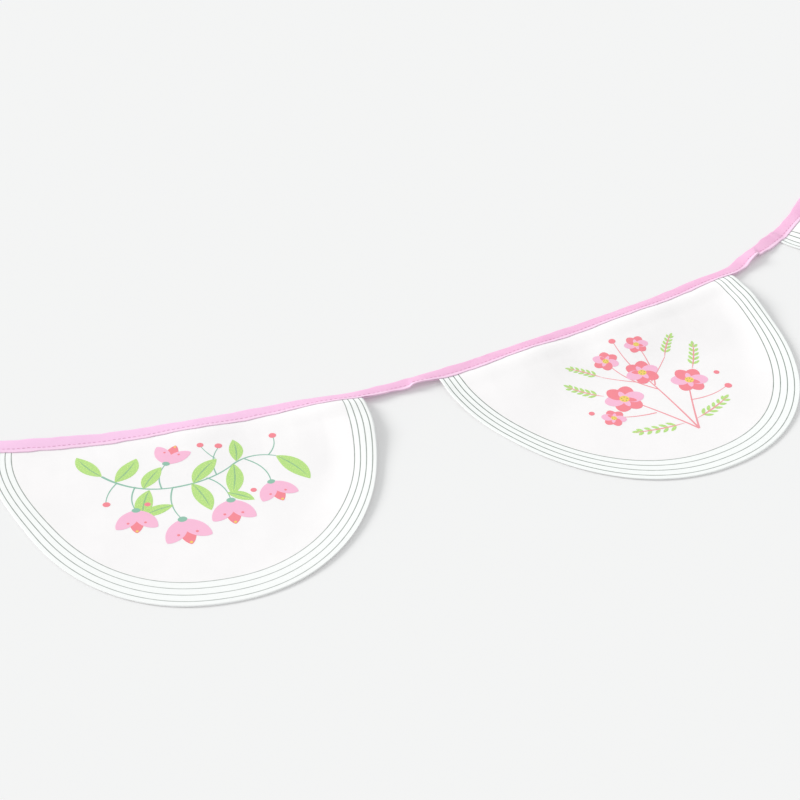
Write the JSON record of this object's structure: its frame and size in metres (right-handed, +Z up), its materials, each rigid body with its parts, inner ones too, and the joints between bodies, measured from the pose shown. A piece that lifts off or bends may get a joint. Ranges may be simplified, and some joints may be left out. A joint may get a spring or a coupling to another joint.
{
  "type": "fabric bunting",
  "caption": "Length of cloth bunting: scalloped white pennants with a printed lined border, their top edges bound in a folded pink tape with plain tails.",
  "frame": {"origin": "middle of the bounding box on the surface that the bunting lies on", "axes": "+Z up, +X along the longer side of the box it lies in, from the first pennant towards the third; the feet of the pennants point towards -Y and +X"},
  "size_m": [0.821, 0.6602, 0.0077],
  "materials": {
    "tape_cotton": "matt plain-weave pink cotton tape",
    "pennant_cotton_1": "matt white cotton, printed with border lines and a flower spray",
    "pennant_cotton_2": "matt white cotton, printed with border lines and a flower spray",
    "pennant_cotton_3": "matt white cotton, printed with border lines and a flower spray"
  },
  "bodies": {
    "root": {"binding_tape": "tape_cotton", "pennant_1": "pennant_cotton_1", "pennant_2": "pennant_cotton_2", "pennant_3": "pennant_cotton_3"}
  },
  "joints": []
}
